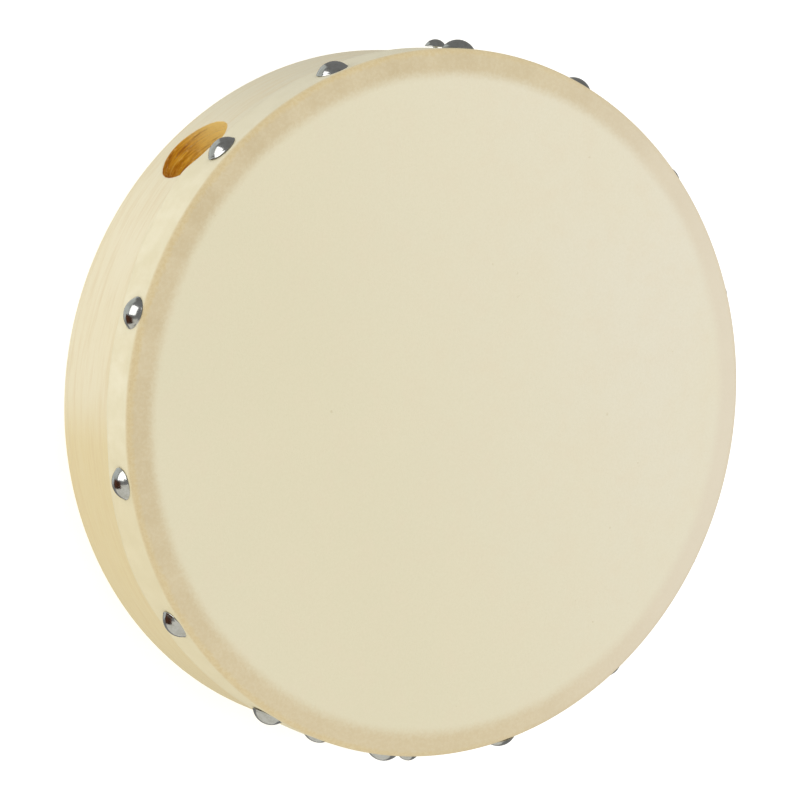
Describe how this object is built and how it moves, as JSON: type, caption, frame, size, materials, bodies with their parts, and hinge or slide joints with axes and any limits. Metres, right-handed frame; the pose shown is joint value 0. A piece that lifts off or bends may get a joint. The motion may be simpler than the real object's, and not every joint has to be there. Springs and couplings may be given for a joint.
{
  "type": "bodhran",
  "caption": "Shallow round frame drum with one tacked skin over a bent plywood hoop, a thumb hole through the side and a hand bar across the open back.",
  "frame": {"origin": "on the drum's axis, in the plane of the open rear edge that the drum stands on", "axes": "+Z along the drum's axis from the open rear edge to the skin, +Y along the hand bar, +X to its right seen from the skin's side; the thumb hole is at 136.7 degrees from +X towards +Y"},
  "size_m": [0.2572, 0.2606, 0.0545],
  "materials": {
    "hoop_wood": "pale hardwood veneer, sanded and sealed with a satin lacquer",
    "core_wood": "raw sawn veneer, darker and orange where the thumb hole cuts through it",
    "bar_wood": "pale hardwood, planed and sanded",
    "skin": "natural goatskin, smooth and dry, with pores and faint mottling",
    "nail_steel": "polished nickel-plated steel"
  },
  "bodies": {
    "root": {"outer_ply": "hoop_wood", "core_ply": "core_wood", "inner_ply": "hoop_wood", "drum_skin": "skin", "hand_bar": "bar_wood", "skin_tack_01": "nail_steel", "skin_tack_02": "nail_steel", "skin_tack_03": "nail_steel", "skin_tack_04": "nail_steel", "skin_tack_05": "nail_steel", "skin_tack_06": "nail_steel", "skin_tack_07": "nail_steel", "skin_tack_08": "nail_steel", "skin_tack_09": "nail_steel", "skin_tack_10": "nail_steel", "skin_tack_11": "nail_steel", "skin_tack_12": "nail_steel", "skin_tack_13": "nail_steel", "skin_tack_14": "nail_steel", "skin_tack_15": "nail_steel", "bar_nail_1": "nail_steel", "bar_nail_2": "nail_steel", "seam_nail_front": "nail_steel", "seam_nail_rear": "nail_steel"}
  },
  "joints": []
}
